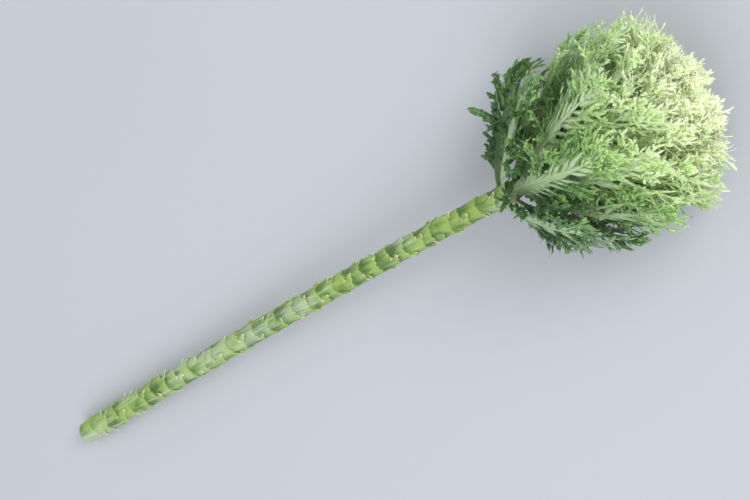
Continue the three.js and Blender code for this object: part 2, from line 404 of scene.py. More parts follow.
@dataclass
class Draft:
    """A mesh in the making: closed tubes of rings, with their marks at each vertex."""

    points: list[np.ndarray] = field(default_factory=list)
    faces: list[np.ndarray] = field(default_factory=list)
    marks: dict[str, list[np.ndarray]] = field(default_factory=dict)
    maps: list[np.ndarray] = field(default_factory=list)
    count: int = 0

    STRIP_EDGE, STRIP_WIDTH = 0.05, 0.9  # a strip's part that its walls take
    WALL_FOOT, WALL_HEIGHT = 0.12, 0.76  # a cell's part that its walls take
    CAP_PLACE = np.array([0.5, 0.05])  # the middle of the first cap's disc in a cell
    CAP_SIZE = np.array([0.3, 0.04])  # its radii
    CAP_APART = np.array([0, 0.9])  # from it to the last cap's

    @classmethod
    def unrolled(
        cls, rings: int, sides: int, strips: int
    ) -> tuple[np.ndarray, np.ndarray, np.ndarray]:
        """Where a tube's corners lie in its cell of the bake map, each from 0 to 1.

        Args:
            rings: How many rings it has.
            sides: How many corners each ring has.
            strips: How many strips its length is cut into, side by side.

        Returns:
            For the walls (rings - 1, sides, 4, 2): unrolled round the middle of the
            cell's height. For the two caps (sides, 2): a small disc below them and above.
        """
        row = np.arange(rings - 1)
        steps = math.ceil((rings - 1) / strips)
        strip, step = (row // steps)[:, None, None], (row % steps)[:, None, None]
        side = np.arange(sides)[None, :, None]
        ahead, up = np.array([0, 1, 1, 0]), np.array([0, 0, 1, 1])
        u = (strip + cls.STRIP_EDGE + cls.STRIP_WIDTH * (side + ahead) / sides) / strips
        v = cls.WALL_FOOT + cls.WALL_HEIGHT * (step + up) / steps
        turn = 2 * np.pi * np.arange(sides) / sides
        disc = cls.CAP_PLACE + cls.CAP_SIZE * np.stack([np.cos(turn), np.sin(turn)], -1)
        return np.stack(np.broadcast_arrays(u, v), -1), disc[::-1], disc + cls.CAP_APART

    def add_tubes(
        self, points: np.ndarray, places: np.ndarray, strips: int = 1, **marks: np.ndarray
    ) -> None:
        """Adds closed tubes, each a row of rings that turn anticlockwise about its way.

        Args:
            points: Points of shape (tubes, rings, sides, 3).
            places: Each tube's cell of the bake map, of shape (tubes, 4).
            strips: How many strips of its cell a tube is unrolled into.
            **marks: Named values at each point, which broadcast to its shape.
        """
        tubes, rings, sides, _ = points.shape
        index = self.count + np.arange(tubes * rings * sides).reshape(tubes, rings, sides)
        low, high = index[:, :-1], index[:, 1:]
        following = np.roll(low, -1, axis=2)
        walls = np.stack([low, following, np.roll(high, -1, axis=2), high], axis=-1)
        faces = [walls.reshape(-1, 4), index[:, 0, ::-1], index[:, -1]]
        for ring, spots in zip(faces, self.unrolled(rings, sides, strips)):
            whole = (tubes,) + (1,) * (spots.ndim - 1) + (2,)
            spread = places[:, :2].reshape(whole) + places[:, 2:].reshape(whole) * spots
            self.faces.append(ring)
            self.maps.append(spread.reshape(-1, 2))
        self.points.append(points.reshape(-1, 3))
        for name, value in marks.items():
            spread = np.broadcast_to(value, (tubes, rings, sides))
            self.marks.setdefault(name, []).append(spread.reshape(-1))
        self.count += tubes * rings * sides

    def finished(self, name: str, material: bpy.types.Material) -> bpy.types.Object:
        """Makes the mesh and its object, at the origin, with its place in the mesh.

        An edge along which the way across is 1 or -1 is a ribbon's side, and is crisp.

        Args:
            name: The object's name.
            material: Its finish.

        Returns:
            The object, riding on the root.
        """
        mesh = bpy.data.meshes.new(name)
        points = np.concatenate(self.points).astype(np.float32)
        sizes = np.concatenate([np.full(len(f), f.shape[1]) for f in self.faces])
        corners = np.concatenate([f.ravel() for f in self.faces])
        mesh.vertices.add(len(points))
        mesh.vertices.foreach_set("co", points.ravel())
        mesh.loops.add(len(corners))
        mesh.loops.foreach_set("vertex_index", corners.astype(np.int32))
        mesh.polygons.add(len(sizes))
        starts = np.concatenate([[0], np.cumsum(sizes)[:-1]])
        mesh.polygons.foreach_set("loop_start", starts.astype(np.int32))
        mesh.update(calc_edges=True)
        mesh.polygons.foreach_set("use_smooth", np.ones(len(sizes), bool))
        layer = mesh.uv_layers.new(name=BAKE_MAP)
        layer.data.foreach_set("uv", np.concatenate(self.maps).astype(np.float32).ravel())
        for mark, values in self.marks.items():
            attribute = mesh.attributes.new(mark, "FLOAT", "POINT")
            attribute.data.foreach_set("value", np.concatenate(values).astype(np.float32))
        if "across" in self.marks:
            across = np.concatenate(self.marks["across"])
            ends = np.zeros(len(mesh.edges) * 2, np.int32)
            mesh.edges.foreach_get("vertices", ends)
            first, second = across[ends.reshape(-1, 2)].T
            crisp = mesh.attributes.new("sharp_edge", "BOOLEAN", "EDGE")
            crisp.data.foreach_set("value", (np.abs(first) == 1) & (first == second))
        mesh.validate()
        mesh.materials.append(material)
        piece = bpy.data.objects.new(name, mesh)
        bpy.context.scene.collection.objects.link(piece)
        LOG.info("%s: %d points, %d triangles", name, len(points), int((sizes - 2).sum()))
        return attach(piece, "root")


@dataclass
class Strands:
    """A batch of tapering ribbons in one leaf's flat terms, all with as many rings.

    middle, side and lift are of shape (strands, rings, 3), and the rest (strands, rings).
    """

    middle: np.ndarray
    side: np.ndarray
    lift: np.ndarray
    heading: np.ndarray
    pitch: np.ndarray
    half: np.ndarray
    thick: np.ndarray
    reach: np.ndarray  # the mark "reach": 0 at the leaf's foot, 1 at its tips

    SHORT_OF_END = 0.001  # of a ring, so that there is always a ring after

    @classmethod
    def grown(
        cls, start: np.ndarray, heading: np.ndarray, turn: np.ndarray, pitch: np.ndarray,
        rise: np.ndarray, roll: np.ndarray, length: np.ndarray, rings: int,
    ) -> "Strands":
        """Ribbons that grow from their starts and turn evenly on their way.

        Args:
            start: Points (strands, 3).
            heading: Directions in the leaf's plane, in radians from along it.
            turn: How far each heading changes from end to end.
            pitch: Climbs out of the leaf's plane, in radians.
            rise: How far each pitch changes from end to end.
            roll: How far each ribbon is rolled about its way.
            length: Lengths.
            rings: How many rings each has.

        Returns:
            The ribbons: each middle line is its start plus the running sum of its mean
            directions. Their widths and marks are still to be set.
        """
        t = np.linspace(0, 1, rings)
        theta = heading[:, None] + turn[:, None] * t
        psi = pitch[:, None] + rise[:, None] * t
        way = np.stack([np.cos(psi) * np.cos(theta), np.cos(psi) * np.sin(theta), np.sin(psi)], -1)
        step = 0.5 * (way[:, 1:] + way[:, :-1]) * (length / (rings - 1))[:, None, None]
        middle = np.concatenate([start[:, None], start[:, None] + np.cumsum(step, axis=1)], axis=1)
        flat = np.stack([-np.sin(theta), np.cos(theta), np.zeros_like(theta)], -1)
        up = np.cross(way, flat)
        angle = roll[:, None, None]
        side = flat * np.cos(angle) + up * np.sin(angle)
        none = np.zeros_like(theta)
        return cls(middle, side, np.cross(way, side), theta, psi, none, none, none)

    def at(self, strand: np.ndarray, share: np.ndarray) -> dict[str, np.ndarray]:
        """What the ribbons are like part of the way along them.

        Args:
            strand: The ribbons' numbers.
            share: The share of each one's length.

        Returns:
            The "middle", "heading", "pitch" and "reach" there, each a straight blend of
            those at the rings before and after.
        """
        last = self.middle.shape[1] - 1
        spot = np.clip(share * last, 0, last - self.SHORT_OF_END)
        low = spot.astype(int)
        part = spot - low
        found = {}
        for name in ("middle", "heading", "pitch", "reach"):
            values = getattr(self, name)
            weight = part[:, None] if name == "middle" else part
            found[name] = values[strand, low] * (1 - weight) + values[strand, low + 1] * weight
        return found

    def span(self) -> np.ndarray:
        """How far each ribbon's end is from its start."""
        return np.linalg.norm(self.middle[:, -1] - self.middle[:, 0], axis=1)

    def tubes(self, section: np.ndarray) -> tuple[np.ndarray, np.ndarray]:
        """The ribbons' rings, and how far across the ribbon each corner is.

        Args:
            section: Each corner's way across, from -1 to 1, and its height as a share of
                the ribbon's thickness (sides, 2), anticlockwise about the ribbon's way.

        Returns:
            Points (strands, rings, sides, 3), and the way across (sides,).
        """
        across, tall = section.T[:, None, None, :, None]
        side = self.side[:, :, None] * (across * self.half[..., None, None])
        lift = self.lift[:, :, None] * (tall * self.thick[..., None, None])
        return self.middle[:, :, None] + side + lift, section[:, 0]


# ---- Leaves ----


@dataclass(frozen=True)
class LeafForm:
    """How a kind of leaf is drawn flat. Lengths are in millimetres, angles in degrees."""

    kind: Kind
    count: int
    longest: float
    stalk: float  # half width where it leaves the stem
    plate: float  # half width of the midrib plate at its widest
    plate_thickness: float
    lobes: int  # on each side
    reach: float  # length of the longest side lobe
    first_lobe: float  # share of the leaf's length
    spread: tuple[float, float]  # heading of the lowest lobe and of the highest
    sweep: tuple[float, float]  # how far the lowest lobe bends forwards, and the highest
    web: float  # how far a lobe widens where it joins the plate
    lobe_half: float
    bare: float  # share of a side lobe before its first fork
    forks: int  # on each side lobe
    fork_angle: float
    fork_length: float  # share of the side lobe's length
    tip_half: float
    teeth: int  # on each fork
    tooth_length: float
    pointed: float  # 0 for round tips, 1 for pointed ones
    ruffle: float  # how far lobes stand out of the leaf's plane
    curl: float  # how far the tip bends away from the axis

    STALK_END, WIDEST = 0.02, 0.24  # shares of the length
    TOP_HALF = 0.5  # half width of the plate's tip

    def plate_half(self, share: np.ndarray) -> np.ndarray:
        """Half the plate's width at a share of the length.

        Args:
            share: Shares of the leaf's length.

        Returns:
            The stalk's half width up to its end, a soft swell to the widest, and from
            there a taper to the tip as 1 - s^0.8, for a soft step s.
        """
        swell = smooth(self.STALK_END, self.WIDEST, share)
        taper = 1 - smooth(self.WIDEST, 1.0, share) ** 0.8
        top = self.TOP_HALF + (self.plate - self.TOP_HALF) * taper
        return self.stalk * (1 - swell) + top * swell


FORMS = (
    LeafForm(
        Kind.COLLAR, count=5, longest=98, stalk=4.4, plate=9.0, plate_thickness=2.6, lobes=11,
        reach=32, first_lobe=0.12, spread=(64, 22), sweep=(26, 6), web=4.4, lobe_half=3.0,
        bare=0.24, forks=6, fork_angle=38, fork_length=0.45, tip_half=2.0, teeth=2,
        tooth_length=7.0, pointed=0.7, ruffle=0.26, curl=5,
    ),
    LeafForm(
        Kind.OUTER, count=16, longest=121, stalk=4.4, plate=7.6, plate_thickness=2.4, lobes=12,
        reach=42, first_lobe=0.13, spread=(56, 15), sweep=(32, 8), web=3.3, lobe_half=1.25,
        bare=0.32, forks=7, fork_angle=36, fork_length=0.44, tip_half=1.15, teeth=2,
        tooth_length=7.5, pointed=0.35, ruffle=0.3, curl=3,
    ),
    LeafForm(
        Kind.MIDDLE, count=18, longest=120, stalk=3.6, plate=6.4, plate_thickness=1.9, lobes=12,
        reach=34, first_lobe=0.16, spread=(52, 13), sweep=(30, 7), web=2.9, lobe_half=1.05,
        bare=0.32, forks=7, fork_angle=38, fork_length=0.42, tip_half=1.0, teeth=2,
        tooth_length=7.0, pointed=0.3, ruffle=0.36, curl=2,
    ),
    LeafForm(
        Kind.INNER, count=17, longest=118, stalk=2.7, plate=4.8, plate_thickness=1.3, lobes=11,
        reach=24, first_lobe=0.22, spread=(46, 11), sweep=(26, 6), web=2.0, lobe_half=0.85,
        bare=0.28, forks=6, fork_angle=38, fork_length=0.44, tip_half=0.86, teeth=2,
        tooth_length=6.0, pointed=0.3, ruffle=0.4, curl=0,
    ),
)


@dataclass(frozen=True)
class Chance:
    """How far leaves and their ribbons differ by chance. Angles are in degrees.

    A single number is the spread of a normal draw, and a pair is the ends of an even one.
    """

    swing: float = 3.0  # of the whole leaf to one side, in millimetres
    bow: float = 1.0
    tone: tuple[float, float] = (0.2, 0.8)
    lobe_place: tuple[float, float] = (-0.36, 0.36)  # in steps from lobe to lobe
    lobe_heading: float = 8
    lobe_turn: float = 11
    lobe_length: tuple[float, float] = (0.64, 1.12)
    lobe_pitch: float = 0.15
    lobe_rise: float = 1.2
    lobe_roll: float = 0.12
    lobe_width: tuple[float, float] = (0.6, 1.4)
    lobe_tone: float = 0.18
    fork_place: float = 0.02  # in shares of the ribbon that it leaves
    fork_heading: float = 6
    fork_turn: tuple[float, float] = (0.4, 1.0)  # in shares of the angle of the fork
    fork_pitch: float = 0.9
    fork_rise: float = 1.1
    fork_length: tuple[float, float] = (0.75, 1.15)
    fork_roll: float = 0.45
    fork_width: tuple[float, float] = (0.8, 1.15)
    fork_tone: float = 0.1


class Leaf:
    """One leaf: a midrib plate, side lobes, their forks, and the forks' teeth.

    Lengths are in millimetres. A ribbon's section is each corner's way across it, and
    its height as a share of the thickness.
    """

    CHANCE = Chance()
    PLATE_RINGS, LOBE_RINGS, FORK_RINGS, TOOTH_RINGS = 26, 7, 5, 4
    PLATE_SHARE = 0.18  # of the leaf's patch of the bake map
    PLATE_END, LAST_LOBE = 0.95, 0.93  # shares of the leaf's length
    PLATE_SIDES = np.array(
        [1.0, 0.62, 0.28, 0.0, -0.28, -0.62, -1.0, -0.62, -0.28, 0.0, 0.28, 0.62]
    )
    PLATE_FACE = np.array([1] * 7 + [0] * 5)  # 1 for the corners on its face
    PLATE_THINNING = 0.72  # how much thinner its tip is, as a share
    LAMINA, RIB, RIB_DIP = 0.24, 0.62, 0.25  # of its thickness, and the face's dip of the rib
    RIB_WIDTH, CUP, LEAD = 0.24, 0.05, 0.25  # of its half width; edges lift and lead by these
    FOOT_INSIDE = 3.0  # how far the stalk's foot lies inside the crown
    FOOT_DEPTH, FOOT_RUN = 0.7, 5  # how much lower the foot sits, and how soon that fades
    WAVE, WAVE_TURNS = 1.2, 2.6  # the bow's height, and its half turns up the leaf
    PLATE_REACH, LOBE_REACH = 0.3, 0.8  # the mark "reach" at the plate's end and the lobes'
    OWN_TONE = 0.7  # the reach at which a ribbon's tone is all its own
    STAGGER = 0.25  # how far the lobes on one side are ahead, in steps from lobe to lobe
    RISE = 0.8  # how far lobes bend to the plate's face and its back by turns
    TIP_LOBE, TIP_WIDTH = 0.085, 0.7  # the tip's lobe, in shares of the leaf and of a lobe
    NARROW_END = 0.3  # a lobe's first and last ring, as a share of its width there
    LEAST_SPAN = 5.0  # of the forks on the shortest lobes
    LAST_FORK = 0.94  # share of its lobe
    TEETH_SPAN = (0.4, 0.74)  # shares of a fork between which its teeth are
    ROUND_FROM, ROUND_RUN = 0.72, 0.31  # shares of a fork in which its end is rounded
    POINT_HALF = 0.05  # half width of a pointed tip
    VEINED = np.array([[1, 0.08], [0, 0.2], [-1, 0.08], [-0.3, -0.25], [0, -0.9], [0.3, -0.25]])
    KEELED = np.array([[1.0, 0.0], [-1.0, 0.0], [0.0, -0.7]])

    def __init__(
        self, plant: Growth, form: LeafForm, seat: Seat, patch: Patch, seed: int
    ) -> None:
        """Takes the leaf's form and seat.

        Args:
            plant: The plant's growth.
            form: The leaf's form.
            seat: Where it sits.
            patch: Its part of the bake map.
            seed: Fixes its random draws.
        """
        self.plant, self.form, self.seat, self.patch = plant, form, seat, patch
        self.random = np.random.default_rng(seed)
        self.swing = self.random.normal(0, self.CHANCE.swing)
        self.bow = self.random.normal(0, self.CHANCE.bow)
        self.tone = float(self.random.uniform(*self.CHANCE.tone))

    def drift(self, flat: np.ndarray) -> np.ndarray:
        """Bends the whole flat leaf: it swings aside, curls outward at its tip, and bows.

        Args:
            flat: Points (along, across, above).

        Returns:
            The points moved across by swing * x^2, and above by -curl * x^3, plus a
            slow wave, plus what seats the stalk's foot on the stem, at a share x.
        """
        share = flat[..., 0] / self.seat.length
        flat = flat.copy()
        flat[..., 1] += self.swing * share**2
        wave = self.WAVE * self.bow * np.sin(self.WAVE_TURNS * np.pi * share + self.bow)
        sunk = np.exp(-np.maximum(flat[..., 0], 0) / self.FOOT_RUN)
        foot = (self.plant.base_clearance + self.FOOT_DEPTH) * sunk
        flat[..., 2] += wave * share - self.form.curl * np.clip(share, 0, 1.1) ** 3 + foot
        return flat

    def add(
        self, draft: Draft, flat: np.ndarray, places: np.ndarray, across: np.ndarray,
        reach: np.ndarray, tone: np.ndarray,
    ) -> None:
        """Adds tubes that were drawn flat to a draft, bent onto the leaf's shell.

        Args:
            draft: The mesh in the making.
            flat: Points (tubes, rings, sides, 3).
            places: Each tube's cell of the bake map.
            across: The way across each ribbon.
            reach: 0 at the leaf's foot and 1 at its tips.
            tone: A shade of its own for each tube.
        """
        points, climb = self.plant.bent(self.seat, self.drift(flat))
        rank = np.array(self.seat.rank)
        draft.add_tubes(
            points, places, across=across, reach=reach, tone=tone, rank=rank, climb=climb
        )

    def add_plate(self, draft: Draft) -> None:
        """Adds the midrib plate: a thin lens with a rounded rib along its outer side.

        At a way x across from -1 to 1, the face is LAMINA * (1 - x^2) of the thickness
        above the middle, and the back is that and the rib's exp(-(x / RIB_WIDTH)^2) below
        it. Both edges lift as x^2.

        Args:
            draft: The mesh in the making.
        """
        form, length, x = self.form, self.seat.length, self.PLATE_SIDES
        share = np.linspace(0, 1, self.PLATE_RINGS) ** 0.9
        half = form.plate_half(share)
        thickness = form.plate_thickness * (1 - self.PLATE_THINNING * share)
        lamina = self.LAMINA * thickness[:, None] * (1 - x**2)
        rib = self.RIB * thickness[:, None] * np.exp(-((x / self.RIB_WIDTH) ** 2))
        cup = self.CUP * half[:, None] * x**2 * smooth(0.05, 0.3, share)[:, None]
        above = cup + np.where(self.PLATE_FACE, lamina - self.RIB_DIP * rib, -lamina - rib)
        run = (self.PLATE_END * length + self.FOOT_INSIDE) * share - self.FOOT_INSIDE
        lead = self.LEAD * half[:, None] * np.abs(x)
        flat = np.stack([run[:, None] + lead, half[:, None] * x, above], axis=-1)
        left, low, width, height = self.patch
        place = np.array([[left, low, width * self.PLATE_SHARE, height]])
        reach = self.PLATE_REACH * share[:, None] * np.ones(len(x))
        self.add(draft, flat[None], place, x, reach[None], np.array(self.tone))

    def side_lobes(self) -> Strands:
        """The lobes that leave the plate on both sides, and one at its tip.

        Returns:
            The lobes. From the lowest to the highest, their heading closes in on the
            midrib and they bend forwards less; the longest are in the middle, as
            0.45 + 0.6 * sin(pi * (0.12 + 0.72x)) of the form's reach. They leave in the
            plate's own plane, then bend to its face and its back by turns. Their half
            width is the blade's, with the web's (1 - t)^2.8 at their foot.
        """
        form, length, draw, chance = self.form, self.seat.length, self.random, self.CHANCE
        number = np.arange(2 * form.lobes)
        count = len(number)
        hand = np.where(number % 2 == 0, 1.0, -1.0)
        place = number // 2 + 0.5 + self.STAGGER * hand + draw.uniform(*chance.lobe_place, count)
        x = np.clip(place / form.lobes, 0, 1)
        along = length * (form.first_lobe + (self.LAST_LOBE - form.first_lobe) * x**0.95)
        across = hand * 0.5 * form.plate_half(along / length)
        (low, high), scatter = form.spread, draw.normal(0, chance.lobe_heading, count)
        heading = hand * np.radians(low + (high - low) * x + scatter)
        (low, high), scatter = form.sweep, draw.normal(0, chance.lobe_turn, count)
        turn = -hand * np.radians(low + (high - low) * x + scatter)
        size = form.reach * (0.45 + 0.6 * np.sin(np.pi * (0.12 + 0.72 * x)))
        room = (length + 3 - along) / np.cos(np.abs(heading) * 0.6)
        size = np.minimum(size, room) * draw.uniform(*chance.lobe_length, count)
        by_turns = self.RISE * np.where(number % 4 < 2, 1, -1)
        pitch = form.ruffle * draw.normal(-0.05, chance.lobe_pitch, count)
        rise = form.ruffle * (by_turns + draw.normal(-0.3, chance.lobe_rise, count))
        tip = np.array([[self.LAST_LOBE * length, 0.0, 0.0]])
        start = np.concatenate([np.stack([along, across, np.zeros(count)], -1), tip])
        more = [np.append(values, last) for values, last in (
            (heading, 0.0), (turn, 0.1 * self.bow), (pitch, 0.0), (rise, 0.1 * self.bow),
            (draw.normal(0, chance.lobe_roll, count), 0.0), (size, self.TIP_LOBE * length),
        )]
        lobes = Strands.grown(start, *more, self.LOBE_RINGS)
        t = np.linspace(0, 1, self.LOBE_RINGS)
        width = (0.6 + 0.4 * size / form.reach) * draw.uniform(*chance.lobe_width, count)
        scale = np.append(width, self.TIP_WIDTH)[:, None]
        blade = form.lobe_half * (1 - 0.35 * t)
        lobes.half = scale * (blade + form.web * (1 - t) ** 2.8)
        lobes.half[:, [0, -1]] *= self.NARROW_END
        lobes.thick = scale * (0.5 + 0.3 * form.plate_thickness * (1 - t) ** 2)
        reach = self.PLATE_REACH + (self.LOBE_REACH - self.PLATE_REACH) * t
        lobes.reach = reach + np.zeros((len(scale), 1))
        return lobes

    def branched(
        self, parents: Strands, shares: np.ndarray, angle: float, size: np.ndarray,
        stalk: float, blade: float, rings: int,
    ) -> tuple[Strands, np.ndarray]:
        """Ribbons that fork off parents at given shares, on alternate sides.

        Args:
            parents: The ribbons that they leave.
            shares: The shares of a parent's length at which it forks.
            angle: Degrees between a parent and its lowest fork.
            size: Lengths of each parent's forks, before they vary, one for each parent.
            stalk: Half width where a fork is narrow.
            blade: Half width where it is widest, near its tip.
            rings: Rings of each fork.

        Returns:
            The forks, and for each the index of its parent. They bend back towards
            their parent's heading, so that the tips end up nearly parallel. A fork is a
            blend of a spade with a round end, sqrt(1 - e^2) for a way e into it, and of
            a dagger, whose width goes as (1 - t)^0.7.
        """
        draw, chance, ruffle = self.random, self.CHANCE, self.form.ruffle
        parent = np.repeat(np.arange(len(parents.middle)), len(shares))
        order = np.tile(np.arange(len(shares)), len(parents.middle))
        count = len(parent)
        hand = np.where((order + parent) % 2 == 0, 1.0, -1.0)
        share = shares[order] + draw.normal(0, chance.fork_place, count)
        root = parents.at(parent, share)
        scatter = draw.normal(0, chance.fork_heading, count)
        wide = np.radians(angle * (1 - 0.3 * share) + scatter)
        heading = root["heading"] + hand * wide
        turn = -hand * wide * draw.uniform(*chance.fork_turn, count)
        pitch = root["pitch"] + ruffle * draw.normal(-0.2, chance.fork_pitch, count)
        rise = ruffle * draw.normal(-0.1, chance.fork_rise, count)
        scatter = draw.uniform(*chance.fork_length, count)
        length = size[parent] * (1.15 - 0.45 * share) * scatter
        roll = draw.normal(0, chance.fork_roll, count)
        ribbons = Strands.grown(root["middle"], heading, turn, pitch, rise, roll, length, rings)
        t = np.linspace(0, 1, rings)
        point = self.form.pointed
        into = np.clip((t - self.ROUND_FROM) / self.ROUND_RUN, 0, 1)
        round_end = np.sqrt(np.clip(1 - into**2, 0.02, 1))
        spade = stalk + (blade - stalk) * smooth(0.2, 0.7, t)
        dagger = blade * (1 - t) ** 0.7 + self.POINT_HALF
        profile = (1 - point) * spade * round_end + point * dagger + 0.5 * stalk * (1 - t) ** 3
        ribbons.half = np.outer(draw.uniform(*chance.fork_width, count), profile)
        ribbons.thick = np.outer(np.ones(count), 0.62 - 0.3 * t)
        ribbons.reach = root["reach"][:, None] * (1 - t) + t
        return ribbons, parent

    def drawn(self, draft: Draft) -> None:
        """Adds the whole leaf to a draft.

        Args:
            draft: The mesh in the making.
        """
        form, draw, chance = self.form, self.random, self.CHANCE
        self.add_plate(draft)
        lobes = self.side_lobes()
        forks, lobe = self.branched(
            lobes, np.linspace(form.bare, self.LAST_FORK, form.forks), form.fork_angle,
            np.maximum(form.fork_length * lobes.span(), self.LEAST_SPAN),
            0.55 * form.tip_half, form.tip_half, self.FORK_RINGS,
        )
        teeth, fork = self.branched(
            forks, np.linspace(*self.TEETH_SPAN, form.teeth), form.fork_angle,
            np.minimum(form.tooth_length, 0.75 * forks.span()),
            0.5 * form.tip_half, 0.85 * form.tip_half, self.TOOTH_RINGS,
        )
        left, low, width, height = self.patch
        strands = (lobes, forks, teeth)
        counts = [len(batch.middle) for batch in strands]
        room = (left + self.PLATE_SHARE * width, low, (1 - self.PLATE_SHARE) * width, height)
        places = np.split(cells(sum(counts), room), np.cumsum(counts)[:-1])
        tones = [np.clip(self.tone + draw.normal(0, chance.lobe_tone, counts[0]), 0, 1)]
        scatter = draw.normal(0, chance.fork_tone, counts[1])
        tones.append(np.clip(tones[0][lobe] + scatter, 0, 1))
        tones.append(tones[1][fork])
        sections = (self.VEINED, self.KEELED, self.KEELED)
        for batch, section, place, tone in zip(strands, sections, places, tones):
            points, across = batch.tubes(section)
            own = smooth(self.PLATE_REACH, self.OWN_TONE, batch.reach)
            shade = (self.tone + (tone[:, None] - self.tone) * own)[..., None]
            self.add(draft, points, place, across, batch.reach[..., None], shade)


@dataclass
class Head:
    """The spiral of leaves round the crown."""

    plant: Growth
    forms: tuple[LeafForm, ...] = FORMS
    seed: int = 1000

    def build(self, finishes: dict[Kind, bpy.types.Material]) -> None:
        """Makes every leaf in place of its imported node.

        Args:
            finishes: The finish of each kind of leaf.
        """
        index = 0
        for form in self.forms:
            for number in range(1, form.count + 1):
                rank = index / (self.plant.leaf_count - 1)
                length = self.plant.leaf_length(rank, form.longest)
                seat = Seat(rank, length, float(self.plant.spiral(index)))
                node = f"{form.kind.value}_{number:02d}"
                draft = Draft()
                Leaf(self.plant, form, seat, WHOLE_MAP, self.seed + index).drawn(draft)
                piece = draft.finished(f"{node}_fringed", finishes[form.kind])
                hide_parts(node)
                index += 1


@dataclass
class Heart:
    """The unopened leaves over the growing tip, as one piece."""

    plant: Growth
    loosest: float = 0.85  # how far its outermost leaf's shell is squeezed in
    tightest: float = 0.2
    shortening: float = 0.12  # how much shorter its innermost leaf is, as a share
    seed: int = 5000
    form: LeafForm = LeafForm(
        Kind.HEART, count=16, longest=66, stalk=1.6, plate=2.6, plate_thickness=1.0, lobes=7,
        reach=15, first_lobe=0.28, spread=(42, 12), sweep=(22, 5), web=1.1, lobe_half=0.75,
        bare=0.3, forks=5, fork_angle=28, fork_length=0.46, tip_half=0.95, teeth=1,
        tooth_length=4.6, pointed=0.3, ruffle=0.3, curl=-1,
    )

    def build(self, finish: bpy.types.Material) -> None:
        """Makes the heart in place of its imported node.

        Args:
            finish: The finish of its leaves.
        """
        plant, form, draft = self.plant, self.form, Draft()
        for number, patch in enumerate(cells(form.count, WHOLE_MAP)):
            share = number / (form.count - 1)
            squeeze = self.loosest + (self.tightest - self.loosest) * share
            length = form.longest * (1 - self.shortening * share)
            seat = Seat(1.0, length, float(plant.spiral(plant.leaf_count + number)), squeeze)
            Leaf(plant, form, seat, tuple(patch), self.seed + number).drawn(draft)
        piece = draft.finished("heart_leaves", finish)
        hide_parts("heart")


# ---- The stem ----


